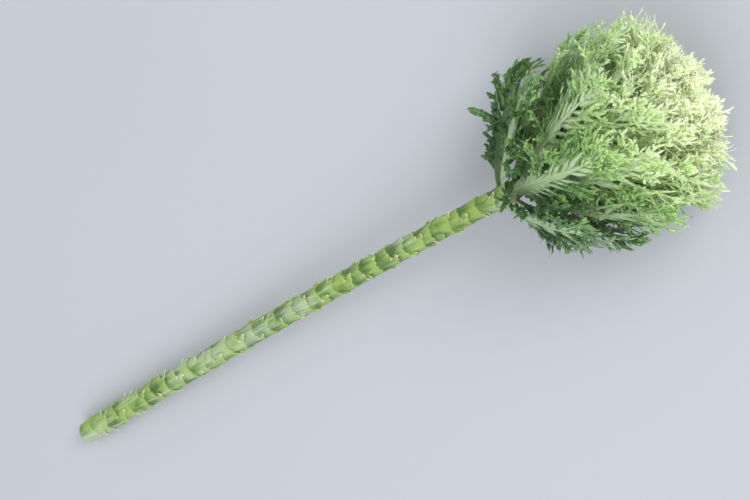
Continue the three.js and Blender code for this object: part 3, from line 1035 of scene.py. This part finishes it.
@dataclass
class Stem:
    """The bare stem with its leaf scars, its cut face, and the crown inside the head."""

    plant: Growth
    columns: int = 88
    row_height: float = 0.56
    swell: float = 1.8  # how far an old leaf base stands out at its ledge
    run: float = 12.5  # how far below the ledge that fades
    half_angle: float = 78.0  # how far round the stem a scar goes to each side
    sag: float = 3.4  # how much lower a ledge is in its middle than at its ears
    lip: float = 0.3  # how much further the ledge's very edge stands out
    ear_length: float = 8.4
    ear_lean: float = 4.4  # how far an ear's tip leans away from the stem
    ear_half: float = 2.7  # half the width of its foot
    leafy: int = 5  # scars above the bare stem, each under one of the lowest leaves
    scar_seed: int = 31
    ear_seed: int = 77

    COVERING = range(-1, 5)  # the scars that may cover a point, counted from the one below
    FRAYS = ((0.35, 6, 1), (0.3, 17, -2), (0.2, 33, 5))  # a ledge's waves: height, pace, phase
    FACE_SHARES = np.array([0.04, 0.2, 0.38, 0.55, 0.66, 0.74, 0.82, 0.9, 0.96])
    FACE_EDGE, SIDE_MARK = 1.0, 1.3  # the mark "cut" at the cut face's edge and on the side
    FINE_ABOVE, CROWN_ROWS = 26, 26  # millimetres of the crown in fine rows, then wide rows
    GROOVES = ((0.12, 13, 3), (0.08, 29, -4))  # ridges round it: height, count, wandering
    EAR_RINGS, EAR_SIDES = 8, 6
    EAR_BELOW = 0.75  # the share of an ear that is below its ledge
    EAR_SUNK, EAR_TIP = 1.2, 0.14  # how deep its foot's middle is, and its tip's half width
    SIDE_PATCH: Patch = (0.0, 0.0, 0.85, 1.0)
    EARS_PATCH: Patch = (0.86, 0.0, 0.14, 1.0)

    def __post_init__(self) -> None:
        """Draws what sets each scar apart: height, strength, slant, waviness and paleness."""
        draw = np.random.default_rng(self.scar_seed)
        count = self.plant.scar_count + self.leafy
        self.offset = draw.normal(0, 0.8, count)
        self.strength = draw.uniform(0.5, 1.15, count)
        self.slant = draw.normal(0, 1.5, count)
        self.wave = draw.uniform(0, 2 * math.pi, count)
        self.paleness = draw.uniform(0.1, 1.0, count)

    def scars(self, azimuth: np.ndarray, height: np.ndarray) -> dict[str, np.ndarray]:
        """How the old leaf bases stand out of the stem.

        Args:
            azimuth: Azimuths in radians, of a grid's shape.
            height: Heights along the axis, of the same shape.

        Returns:
            "swell", how far the surface stands out; "ledge", up to 1 at a ledge's edge
            and fading below it; "shade", painted shade in the recess just above a
            ledge, 1 there and fading upwards; and "bract", from 0 to 1 up a scar's own
            stretch of stem. For a way x aside from a scar's middle, its ledge is
            sag * (1 - |x|^1.5) lower than its ears and frayed in finer waves, and it
            swells by swell * (1 - x^8) * (0.45 + 0.9 * x^2) * (1 - below / run)^0.9
            under it, with a slight ridge in its middle.
        """
        plant = self.plant
        swell, ledge, shade, bract = (np.zeros(height.shape) for _ in range(4))
        nearest = np.floor((height - plant.scar_first) / plant.scar_pitch)
        for step in self.COVERING:
            scar = nearest + step
            real = (scar >= 0) & (scar < len(self.offset))
            own = np.clip(scar, 0, len(self.offset) - 1).astype(int)
            turn = azimuth - plant.spiral(scar - plant.scar_count)
            side = np.degrees(np.arctan2(np.sin(turn), np.cos(turn))) / self.half_angle
            aside = np.abs(side)
            edge = plant.scar_first + scar * plant.scar_pitch + self.offset[own]
            edge = edge + self.slant[own] * side - self.sag * (1 - np.minimum(aside, 1) ** 1.5)
            phase = self.wave[own]
            for tall, pace, shift in self.FRAYS:
                edge = edge + tall * np.sin(pace * side + shift * phase)
            below = edge - height
            across = np.maximum(0, 1 - aside**8) * (0.45 + 0.9 * aside**2)
            within = real & (aside < 1)
            rise = smooth(-0.35, 0.25, below)
            out = self.swell * across * np.clip(1 - below / self.run, 0, 1) ** 0.9
            out = out + self.lip * across * np.exp(-((below - 0.7) / 0.8) ** 2)
            ridge = 0.3 * np.exp(-((aside / 0.13) ** 2)) * np.clip(1 - below / 9, 0, 1)
            out = (out + ridge) * rise * self.strength[own]
            top = within & (out > swell)
            swell = np.where(top, out, swell)
            bract = np.where(top, np.clip(1 - below / self.run, 0, 1), bract)
            near = np.exp(-np.maximum(below - 0.4, 0) / 0.7) * smooth(-0.3, 0.3, below)
            near = near * self.paleness[own] * (0.75 + 0.25 * np.sin(5 * side + 3 * phase))
            ledge = np.maximum(ledge, np.where(within, near * across, 0))
            # painted shade: darkest in the recess just above the ledge, fading upwards
            over = np.exp(-np.maximum(-below, 0) / 1.1) * (below < 0.1)
            shade = np.maximum(shade, np.where(within, over * across * self.strength[own], 0))
        return {"swell": swell, "ledge": ledge, "shade": shade, "bract": bract}

    def surface(self) -> tuple[np.ndarray, dict[str, np.ndarray]]:
        """The stem's grid: rows along it, columns round it.

        Returns:
            The points in metres, and the marks "ledge", "shade", "bract" and "cut" at
            each. The rows cross the cut face first, from its middle out in slight rings,
            and then climb the side. Wandering ridges stand out of it. The crown's top is
            rounded as sqrt(1 - x^2).
        """
        plant, face = self.plant, self.FACE_SHARES
        total = plant.bare_length + plant.crown_length
        side = np.arange(0.5, plant.bare_length + self.FINE_ABOVE, self.row_height)
        crown = np.linspace(side[-1] + 3, total, self.CROWN_ROWS)
        above = len(side) + len(crown)
        face_height = 0.25 * np.cos(face * 7) * (1 - face) + 0.05
        heights = np.concatenate([face_height, [0.12], side, crown])
        shares = np.concatenate([face, [0.992], np.ones(above)])
        cut = np.concatenate([face, [self.FACE_EDGE], np.full(above, self.SIDE_MARK)])
        azimuth = np.linspace(0, 2 * np.pi, self.columns, endpoint=False)
        height = np.repeat(heights[:, None], self.columns, axis=1)
        round_it = np.repeat(azimuth[None], len(heights), axis=0)
        marks = self.scars(round_it, height)
        slow = 0.5 * np.sin(height / 31) + 0.3 * np.sin(height / 11.3 + 2)
        ridges = sum(
            tall * np.sin(count * round_it + drift * slow) for tall, count, drift in self.GROOVES
        )
        radius = plant.stem_radius(height) + marks.pop("swell") + ridges
        radius = radius * shares[:, None]
        cap = np.sqrt(np.clip(1 - ((heights - total + 3) / 3.2).clip(0, 1) ** 2, 0.01, 1))
        radius = radius * cap[:, None]
        points = plant.axis_point(height) + plant.outward(round_it) * radius[..., None]
        marks["cut"] = np.repeat(cut[:, None], self.columns, axis=1)
        return self.grounded(points), marks

    def ears(self) -> tuple[np.ndarray, np.ndarray]:
        """The pointed stubs in which a ledge frays: one at each end, and a smaller one by it.

        Returns:
            Points in metres (ears, rings, sides, 3), and each ring's share (rings,).
            Each ear rises out of the stem over a broad foot, leans away from it as t^1.7,
            and narrows as (1 - t^2.2)^0.9 to a tip above its ledge.
        """
        plant, draw, scars = self.plant, np.random.default_rng(self.ear_seed), len(self.offset)
        hand = np.tile([1.0, -1.0, 1.0, -1.0], scars)
        small = np.tile([0.0, 0.0, 1.0, 1.0], scars)
        count = len(hand)
        scar = np.repeat(np.arange(scars), count // scars)
        aside = draw.uniform(0.84, 0.95, count) - small * draw.uniform(0.15, 0.4, count)
        azimuth = plant.spiral(scar - plant.scar_count)
        azimuth = azimuth + hand * np.radians(self.half_angle * aside)
        ledge = plant.scar_first + scar * plant.scar_pitch + self.offset[scar]
        ledge = ledge + hand * aside * self.slant[scar] - self.sag * (1 - aside**1.5)
        t = np.linspace(0, 1, self.EAR_RINGS)
        length = self.ear_length * draw.uniform(0.7, 1.15, count) * (1 - 0.4 * small)
        foot = ledge - self.EAR_BELOW * length
        height = foot[:, None] + length[:, None] * t
        lean = (self.ear_lean * draw.uniform(0.3, 1.15, count) * (1 - 0.45 * small))[:, None]
        swell = 0.8 * (self.swell * self.strength[scar])[:, None] * t
        out = plant.stem_radius(foot)[:, None] - self.EAR_SUNK + swell + lean * t**1.7
        half = self.ear_half * (1 - t**2.2) ** 0.9 + self.EAR_TIP
        half = half * (draw.uniform(0.7, 1.1, count) * (1 - 0.35 * small))[:, None]
        angles = np.linspace(0, 2 * math.pi, self.EAR_SIDES, endpoint=False)
        wide = half[..., None] * np.cos(angles) / out[..., None]
        deep = 0.5 * half[..., None] * np.sin(angles)
        twist = (hand * draw.normal(0.06, 0.12, count))[:, None, None]
        spots = azimuth[:, None, None] + wide + twist * t[None, :, None] ** 2
        radius = out[..., None] - deep
        tall = np.broadcast_to(height[..., None], radius.shape)
        points = plant.axis_point(tall) + plant.outward(spots) * radius[..., None]
        return self.grounded(points), t

    def grounded(self, points: np.ndarray) -> np.ndarray:
        """Lifts out of the resting surface what would be in it.

        Args:
            points: Points in the plant's terms, in millimetres.

        Returns:
            The points in metres in the frame, none lower than LEAST_GAP.
        """
        points = (points + np.array(self.plant.shift)) * MM
        points[..., 2] = np.maximum(points[..., 2], LEAST_GAP)
        return points

    def build(self, finish: bpy.types.Material) -> None:
        """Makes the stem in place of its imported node.

        Args:
            finish: The stem's finish.
        """
        draft = Draft()
        points, marks = self.surface()
        whole = {name: values[None] for name, values in marks.items()}
        place, none = np.array([self.SIDE_PATCH]), np.array(0.0)
        draft.add_tubes(points[None], place, strips=4, ear=none, **whole)
        points, t = self.ears()
        draft.add_tubes(
            points, cells(len(points), self.EARS_PATCH), ear=t[None, :, None], ledge=none,
            shade=none, bract=(0.3 + 0.6 * t)[None, :, None], cut=np.array(self.SIDE_MARK),
        )
        piece = draft.finished("stem_scarred", finish)
        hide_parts("stem")


# ---- Finishes ----

Shade = Colour | bpy.types.NodeSocket  # a colour, or what works one out
Stops = tuple[tuple[float, Colour], ...]  # a ramp's places and their colours


class Signal:
    """A number that a material works out at each point of a surface."""

    def __init__(self, web: "Web", socket: bpy.types.NodeSocket) -> None:
        """Wraps an output socket of a web."""
        self.web, self.socket = web, socket

    def _with(self, operation: str, *values: "Signal | float") -> "Signal":
        """One Math node over these values, in their order."""
        node = self.web.node("ShaderNodeMath", {"operation": operation}, dict(enumerate(values)))
        return Signal(self.web, node.outputs[0])

    def __add__(self, other: "Signal | float") -> "Signal":
        """This plus other."""
        return self._with("ADD", self, other)

    def __mul__(self, other: "Signal | float") -> "Signal":
        """This times other."""
        return self._with("MULTIPLY", self, other)

    def __sub__(self, other: "Signal | float") -> "Signal":
        """This less other."""
        return self._with("SUBTRACT", self, other)

    def __rsub__(self, other: float) -> "Signal":
        """Other less this."""
        return self._with("SUBTRACT", other, self)

    __radd__, __rmul__ = __add__, __mul__

    def size(self) -> "Signal":
        """This without its sign."""
        return self._with("ABSOLUTE", self)

    def wave(self) -> "Signal":
        """The sine of this, in radians."""
        return self._with("SINE", self)

    def step(self, low: float, high: float, start: float = 0.0, end: float = 1.0) -> "Signal":
        """A soft step.

        Args:
            low: Where it starts.
            high: Where it ends.
            start: Its value up to there.
            end: Its value from there on.

        Returns:
            The step at this.
        """
        settings = {"interpolation_type": "SMOOTHSTEP"}
        values = {"Value": self, "From Min": low, "From Max": high, "To Min": start, "To Max": end}
        return Signal(self.web, self.web.node("ShaderNodeMapRange", settings, values).outputs[0])


class Web:
    """The nodes of a material or of the world."""

    def __init__(self, owner: bpy.types.Material | bpy.types.World) -> None:
        """Takes the owner of the nodes, and clears those that it has.

        Args:
            owner: The material or the world.
        """
        owner.use_nodes = True
        self.owner, self.tree = owner, owner.node_tree
        self.tree.nodes.clear()

    def feed(self, node: bpy.types.Node, name: str | int, value: object) -> None:
        """Sets one input of a node.

        Args:
            node: The node.
            name: The input's name or number.
            value: A value, or a Signal or output socket to link to it.
        """
        if isinstance(value, Signal):
            value = value.socket
        if isinstance(value, bpy.types.NodeSocket):
            self.tree.links.new(value, node.inputs[name])
        else:
            node.inputs[name].default_value = value

    def node(self, kind: str, settings: dict, values: dict) -> bpy.types.Node:
        """Adds any node.

        Args:
            kind: The node's type.
            settings: Its own settings, or for a ramp its "stops".
            values: A value, Signal or output socket for each input's name or number.

        Returns:
            The node.
        """
        made = self.tree.nodes.new(kind)
        for name, value in settings.items():
            if name != "stops":
                setattr(made, name, value)
                continue
            band = made.color_ramp.elements
            while len(band) < len(value):
                band.new(1.0)
            for element, (position, shade) in zip(band, value):
                element.position, element.color = position, shade
        for name, value in values.items():
            self.feed(made, name, value)
        return made

    def seen(self, *rays: str) -> Signal:
        """Tells kinds of ray apart.

        Args:
            *rays: The kinds, such as "Camera" and "Glossy".

        Returns:
            1 for rays of these kinds and 0 for others.
        """
        path = self.node("ShaderNodeLightPath", {}, {})
        first, *more = (Signal(self, path.outputs[f"Is {ray} Ray"]) for ray in rays)
        return sum(more, first)

    def glow(self, kind: str, shade: Colour, strength: float = 1.0) -> bpy.types.NodeSocket:
        """An even light of a colour, from a node of this kind."""
        return self.node(kind, {}, {"Color": shade, "Strength": strength}).outputs[0]

    def mixed(
        self, share: Signal, first: bpy.types.NodeSocket, second: bpy.types.NodeSocket
    ) -> bpy.types.NodeSocket:
        """The first shader where share is 0 and the second where it is 1."""
        return self.node("ShaderNodeMixShader", {}, {0: share, 1: first, 2: second}).outputs[0]


class Skin(Web):
    """A material's nodes, round one Principled shader."""

    def __init__(self, name: str) -> None:
        """Makes an empty material.

        Args:
            name: The material's name.
        """
        super().__init__(bpy.data.materials.new(name))
        scatter = {"subsurface_method": "BURLEY"}
        self.shader = self.node("ShaderNodeBsdfPrincipled", scatter, {})
        self.out = self.node("ShaderNodeOutputMaterial", {}, {"Surface": self.shader.outputs[0]})

    def mark(self, name: str) -> Signal:
        """A mark that the mesh carries at each vertex."""
        node = self.node("ShaderNodeAttribute", {"attribute_name": name}, {})
        return Signal(self, node.outputs["Fac"])

    def place(self) -> bpy.types.NodeSocket:
        """Where a point is, in the object's own coordinates."""
        return self.node("ShaderNodeTexCoord", {}, {}).outputs["Object"]

    def noise(self, scale: float, detail: float = 2.0, stretch: Vector | None = None) -> Signal:
        """Noise from 0 to 1 that lies on the piece.

        Args:
            scale: Grains to a metre.
            detail: How many finer layers it has.
            stretch: A scale of its own for each direction.

        Returns:
            The noise.
        """
        place = self.place()
        if stretch is not None:
            mapping = self.node("ShaderNodeMapping", {}, {"Vector": place, "Scale": stretch})
            place = mapping.outputs[0]
        values = {"Vector": place, "Scale": scale, "Detail": detail}
        return Signal(self, self.node("ShaderNodeTexNoise", {}, values).outputs[0])

    def tint(self, share: Signal | float, first: Shade, second: Shade) -> bpy.types.NodeSocket:
        """The first colour where share is 0 and the second where it is 1."""
        settings = {"data_type": "RGBA", "clamp_factor": True}
        return self.node("ShaderNodeMix", settings, {0: share, 6: first, 7: second}).outputs[2]

    def ramp(self, value: Signal, stops: Stops) -> bpy.types.NodeSocket:
        """A colour that a value picks from stops."""
        return self.node("ShaderNodeValToRGB", {"stops": stops}, {0: value}).outputs[0]

    def finish(
        self, shade: bpy.types.NodeSocket, roughness: Signal | float, relief: Signal,
        depth: float, **constants: object,
    ) -> bpy.types.Material:
        """Dresses the shader.

        Args:
            shade: The base colour.
            roughness: The roughness.
            relief: What the surface's fine relief follows.
            depth: How high that relief is, in metres.
            **constants: Inputs of the shader that are the same all over, with _ for a space.

        Returns:
            The material.
        """
        values = {"Height": relief, "Distance": depth, "Strength": 1.0}
        bump = self.node("ShaderNodeBump", {}, values).outputs[0]
        values = {"Base Color": shade, "Roughness": roughness, "Normal": bump}
        values.update({name.replace("_", " "): value for name, value in constants.items()})
        for name, value in values.items():
            self.feed(self.shader, name, value)
        return self.owner


@dataclass(frozen=True)
class LeafFinish:
    """A leaf's skin: a pale rib that turns green towards the tips, under a waxy bloom.

    Each ramp goes by how pale the head is there: 0 low on the lowest leaf, and 1 at the
    top of the innermost. A grain is how many grains of a noise go to a metre.
    """

    name: str
    roughness: float
    bloom: float  # how much wax covers it at most
    translucence: float
    gloss: float = 0.4

    RIBS = (
        (0.0, colour(160, 188, 148)), (0.2, colour(194, 216, 172)),
        (0.4, colour(220, 236, 196)), (0.62, colour(236, 247, 214)),
        (1.0, colour(244, 250, 224)),
    )
    BLADES = (
        (0.0, colour(46, 88, 50)), (0.14, colour(64, 110, 58)),
        (0.28, colour(106, 154, 80)), (0.42, colour(154, 198, 112)),
        (0.58, colour(196, 226, 148)), (0.78, colour(217, 238, 174)),
        (1.0, colour(228, 243, 190)),
    )
    TIPS = (
        (0.0, colour(54, 98, 54)), (0.14, colour(78, 126, 64)),
        (0.28, colour(126, 172, 90)), (0.42, colour(180, 216, 136)),
        (0.58, colour(218, 239, 178)), (0.78, colour(238, 248, 208)),
        (1.0, colour(246, 251, 222)),
    )
    MIDRIB = colour(160, 192, 110)
    WAX = colour(190, 208, 188)
    BY_RANK, BY_CLIMB, BY_TONE, BY_PATCH = 0.5, 0.58, 0.28, 0.2  # what makes a leaf paler
    PATCH_GRAIN, BLOOM_GRAIN, FINE_GRAIN, GRAIN = 38, 9, 1900, 520
    VEINS, SLANT = 240, 8  # side veins are the sine of VEINS * reach - SLANT * |across|
    RELIEF = 0.00015  # metres
    SCATTER = {"Subsurface_Radius": (1.0, 1.15, 0.75), "Subsurface_Scale": 0.0016}

    def material(self) -> bpy.types.Material:
        """Makes the material.

        Returns:
            The material: the rib's colour on the plate and at first along each lobe, the
            blade's beyond it and at the lobe's edges, the tips' at the end, and the
            rib's again along the veins and at the rims of the outer ribbons. Low on the
            plate the midrib itself is greener, and so is the flesh between side veins.
        """
        skin, plate = Skin(self.name), Leaf.PLATE_REACH
        names = ("reach", "across", "tone", "rank", "climb")
        reach, across, tone, rank, climb = (skin.mark(name) for name in names)
        aside = across.size()
        middle = 1 - aside
        patches = skin.noise(self.PATCH_GRAIN, 3)
        pale = rank * self.BY_RANK + climb * self.BY_CLIMB + (tone - 0.5) * self.BY_TONE
        pale = pale + (patches - 0.5) * self.BY_PATCH
        rib, blade, tips = (skin.ramp(pale, s) for s in (self.RIBS, self.BLADES, self.TIPS))
        edge = aside.step(0.3, 0.75) * reach.step(plate, 0.38, 0.25, 0.36)
        green = reach + (patches - 0.5) * 0.16 + edge + pale.step(0.5, 0.0, 0.0, 0.1)
        side = (reach * self.VEINS - aside * self.SLANT + patches * 3).wave()
        flesh = side.step(-0.2, 0.7) * aside.step(0.1, 0.4)
        flesh = flesh * reach.step(plate - 0.03, plate, 0.6, 0)
        shade = skin.tint(flesh, rib, skin.tint(0.45, rib, blade))
        shade = skin.tint(green.step(0.34, 0.72), shade, blade)
        shade = skin.tint(green.step(0.8, 1.0), shade, tips)
        vein = middle.step(0.55, 0.9) * reach.step(0.35, 0.95, 0.85, 0.2)
        rim = aside.step(0.76, 1.0) * reach.step(0.5, 0.75, 0.0, 0.5)
        shade = skin.tint(vein + rim, shade, rib)
        midrib = middle.step(0.8, 0.95) * reach.step(0.1, 0.3, 0.8, 0.1)
        shade = skin.tint(midrib * climb.step(0.2, 0.8, 1, 0), shade, self.MIDRIB)
        bloom = skin.noise(self.BLOOM_GRAIN, 4).step(0.42, 0.72) * self.bloom
        shade = skin.tint(bloom, shade, self.WAX)
        fine, grain = skin.noise(self.FINE_GRAIN, 2), skin.noise(self.GRAIN, 3)
        roughness = grain.step(0.3, 0.7, self.roughness - 0.08, self.roughness + 0.1)
        return skin.finish(
            shade, roughness, fine * 0.5 + grain - flesh * 2, self.RELIEF,
            Subsurface_Weight=self.translucence, Specular_IOR_Level=self.gloss, **self.SCATTER,
        )


LEAF_FINISHES = {
    Kind.COLLAR: LeafFinish("collar_skin", roughness=0.42, bloom=0.35, translucence=0.3),
    Kind.OUTER: LeafFinish("outer_skin", roughness=0.46, bloom=0.2, translucence=0.5),
    Kind.MIDDLE: LeafFinish("middle_skin", roughness=0.5, bloom=0.08, translucence=0.7),
    Kind.INNER: LeafFinish("inner_skin", roughness=0.52, bloom=0.03, translucence=0.8),
    Kind.HEART: LeafFinish("heart_skin", roughness=0.52, bloom=0.0, translucence=0.8),
}


@dataclass(frozen=True)
class StemFinish:
    """The stem's skin: mid green with lime ledges, pale ears, bloom and a pale cut face.

    A grain is how many grains of a noise go to a metre, and a stretch scales it along
    the stem and across it.
    """

    name: str = "stem_skin"
    translucence: float = 0.25
    gloss: float = 0.45

    LOW_SKIN = colour(84, 122, 56)
    HIGH_SKIN = colour(158, 188, 108)
    LIME = colour(166, 196, 84)
    WAX = colour(204, 217, 200)
    # painted shade for the recessed step just above each ledge
    SHADE = colour(58, 82, 38)
    LEDGE = colour(200, 220, 96)
    EAR = colour(228, 234, 192)
    FACE = (
        (0.0, colour(226, 232, 190)), (0.42, colour(220, 230, 178)),
        (0.56, colour(170, 196, 118)), (0.64, colour(214, 226, 168)),
        (0.74, colour(190, 210, 132)), (0.79, colour(120, 152, 76)),
    )
    FACE_SCALE = 0.8  # of the mark "cut", for the ramp of the cut face
    STREAK_GRAIN, STREAK = 260, Vector((0.12, 1, 1))
    BLOOM_GRAIN, BLOOM = 34, Vector((0.45, 1, 1))
    FINE_GRAIN, FINE = 900, Vector((0.35, 1, 1))
    PATCH_GRAIN = 42
    RELIEF = 0.0003  # metres
    SCATTER = {"Subsurface_Radius": (1.0, 1.15, 0.6), "Subsurface_Scale": 0.0012}

    def material(self) -> bpy.types.Material:
        """Makes the material.

        Returns:
            The material. Each scar's stretch of stem pales towards its ledge, a painted
            shade darkens the recess just above each ledge, streaks run along the stem,
            and the cut face goes by the share of the way from its middle: pith, a ring
            of vessels, flesh and rind.
        """
        skin = Skin(self.name)
        names = ("cut", "ledge", "shade", "ear", "bract")
        cut, ledge, under, ear, bract = (skin.mark(name) for name in names)
        streaks = skin.noise(self.STREAK_GRAIN, 4, self.STREAK)
        patches = skin.noise(self.PATCH_GRAIN, 3)
        level = bract * 0.5 + streaks * 0.9 + (patches - 0.5) * 0.6
        shade = skin.tint(level.step(0.38, 0.92), self.LOW_SKIN, self.HIGH_SKIN)
        shade = skin.tint(patches.step(0.48, 0.66) * 0.55, shade, self.LIME)
        bloom = skin.noise(self.BLOOM_GRAIN, 5, self.BLOOM)
        bloom = (bloom + (streaks - 0.5) * 0.5).step(0.46, 0.7) * 0.66
        shade = skin.tint(bloom, shade, self.WAX)
        # painted shade in the recess just above each ledge, by the mark "shade"
        shade = skin.tint(under * 0.85, shade, self.SHADE)
        shade = skin.tint(ledge * 1.1, shade, self.LEDGE)
        shade = skin.tint(ear.step(0.5, 0.95) * 0.95, shade, self.EAR)
        flesh = skin.ramp(cut * self.FACE_SCALE, self.FACE)
        shade = skin.tint(cut.step(1.02, 1.06), flesh, shade)
        fine = skin.noise(self.FINE_GRAIN, 3, self.FINE)
        roughness = bloom * 0.2 + streaks.step(0.3, 0.7, 0.36, 0.5)
        return skin.finish(
            shade, roughness, fine + streaks * 0.8, self.RELIEF,
            Subsurface_Weight=self.translucence, Specular_IOR_Level=self.gloss, **self.SCATTER,
        )


@dataclass(frozen=True)
class FloorFinish:
    """Plain matt pale grey for the surface that the stem lies on."""

    name: str = "floor_grey"
    near: float = 0.5  # metres from the middle within which the floor is lit by the lamps
    far: float = 1.6  # beyond which it shows its own even shade
    roughness: float = 0.85

    SHADE = colour(204, 207, 217)
    DARKER, LIGHTER = colour(202, 205, 214), colour(206, 209, 219)
    CLOUD_GRAIN, FINE_GRAIN = 2.0, 400
    RELIEF = 0.00002  # metres

    def material(self) -> bpy.types.Material:
        """Makes the material.

        Returns:
            The material: matt, and evenly pale where the lamps don't reach.
        """
        skin = Skin(self.name)
        shade = skin.tint(skin.noise(self.CLOUD_GRAIN, 2), self.DARKER, self.LIGHTER)
        material = skin.finish(shade, self.roughness, skin.noise(self.FINE_GRAIN, 2), self.RELIEF)
        length = skin.node("ShaderNodeVectorMath", {"operation": "LENGTH"}, {0: skin.place()})
        way = Signal(skin, length.outputs["Value"])
        share = way.step(self.near, self.far) * skin.seen("Camera", "Glossy")
        glow = skin.glow("ShaderNodeEmission", self.SHADE)
        skin.feed(skin.out, "Surface", skin.mixed(share, skin.shader.outputs[0], glow))
        return material


# ---- The studio ----


@dataclass(frozen=True)
class Lamp:
    """A square softbox that faces the object's middle."""

    name: str
    way: tuple[float, float, float]  # to it from the object's middle, in metres
    size: float  # the length of its side
    power: float  # in watts
    light: tuple[float, float, float]

    def hang(self, aim: Vector) -> None:
        """Hangs the lamp.

        Args:
            aim: The point that it faces.
        """
        lamp = bpy.data.lights.new(self.name, "AREA")
        lamp.size, lamp.energy, lamp.color = self.size, self.power, self.light
        box = bpy.data.objects.new(self.name, lamp)
        place = aim + Vector(self.way)
        turn = (place - aim).to_track_quat("Z", "Y").to_matrix().to_4x4()
        box.matrix_world = Matrix.Translation(place) @ turn
        bpy.context.scene.collection.objects.link(box)


@dataclass
class Studio:
    """The floor, soft lamps and the camera."""

    tilt: float = 19.0  # degrees from straight above, towards the head's side
    roll: float = 28.0  # degrees that the stem climbs across the picture
    lens: float = 80.0
    sensor: float = 36.0
    aspect: float = 1.5
    margin: float = 0.05  # of the picture's width, left free on both sides
    sight: tuple[float, float] = (0.02, 20)  # the nearest and furthest that the camera sees
    floor_edge: float = 6.0  # metres from the middle
    key: Lamp = Lamp("key", (1.45, 0.3, 1.3), 1.1, 12.8, (1.0, 0.99, 0.97))
    fill: Lamp = Lamp("fill", (-0.5, -1.2, 1.5), 1.6, 11.0, (0.97, 0.985, 1.0))
    world_level: float = 0.66
    world_light: Colour = (0.98, 0.99, 1.0, 1.0)

    def floor(self) -> None:
        """A wide sheet at height 0."""
        mesh, edge = bpy.data.meshes.new("floor"), self.floor_edge
        corners = [(-edge, -edge, 0), (edge, -edge, 0), (edge, edge, 0), (-edge, edge, 0)]
        mesh.from_pydata(corners, [], [(0, 1, 2, 3)])
        mesh.materials.append(FloorFinish().material())
        sheet = bpy.data.objects.new("floor", mesh)
        bpy.context.scene.collection.objects.link(sheet)
        sheet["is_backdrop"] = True

    def lights(self, aim: Vector) -> None:
        """A key over the head's end, a fill on the other side, and an even world.

        Args:
            aim: The point that the lamps face.
        """
        self.key.hang(aim)
        self.fill.hang(aim)
        web = Web(bpy.data.worlds.new("studio"))
        light = web.glow("ShaderNodeBackground", self.world_light, self.world_level)
        shown = web.glow("ShaderNodeBackground", FloorFinish.SHADE)
        surface = web.mixed(web.seen("Camera"), light, shown)
        web.node("ShaderNodeOutputWorld", {}, {"Surface": surface})
        bpy.context.scene.world = web.owner

    def camera(self) -> None:
        """A camera that looks down on the stem, with the head towards the upper right.

        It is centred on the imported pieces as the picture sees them, and as far off as
        fills the picture with them apart from a margin.
        """
        tilt, roll = math.radians(self.tilt), math.radians(self.roll)
        back = Vector((math.sin(tilt), 0, math.cos(tilt)))
        right = Vector((0, 1, 0)).cross(back)
        up = back.cross(right)
        turn = Matrix.Rotation(-roll, 3, back)
        axes = Matrix((turn @ right, turn @ up, back))
        points = np.concatenate([corners_of(node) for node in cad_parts.values()])
        seen = points @ np.array(axes).T
        low, high = seen.min(0), seen.max(0)
        width = max(high[0] - low[0], self.aspect * (high[1] - low[1])) / (1 - 2 * self.margin)
        middle = (low + high) / 2
        middle[2] = seen[:, 2].mean() + width * self.lens / self.sensor
        data = bpy.data.cameras.new("camera")
        data.lens, data.sensor_width = self.lens, self.sensor
        data.clip_start, data.clip_end = self.sight
        eye = bpy.data.objects.new("camera", data)
        place = axes.transposed() @ Vector(middle)
        eye.matrix_world = Matrix.Translation(place) @ axes.transposed().to_4x4()
        bpy.context.scene.collection.objects.link(eye)
        bpy.context.scene.camera = eye

    def build(self, low: Vector, high: Vector) -> None:
        """Sets the scene round the object.

        Args:
            low: Its box's lowest corner.
            high: Its box's highest corner.
        """
        self.floor()
        self.lights((low + high) / 2)
        self.camera()
        bpy.context.scene.view_settings.view_transform = "Standard"


def main() -> None:
    """Builds the plant piece by piece, and the studio round it."""
    logging.basicConfig(level=logging.INFO, format="%(name)s %(message)s")
    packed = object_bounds()
    plant = Growth.in_frame()
    LOG.info("shift %s mm", np.round(plant.shift, 2))
    Stem(plant).build(StemFinish().material())
    materials = {kind: finish.material() for kind, finish in LEAF_FINISHES.items()}
    Head(plant).build(materials)
    Heart(plant).build(materials[Kind.HEART])
    Studio().build(*packed)


if __name__ == "__main__":
    main()
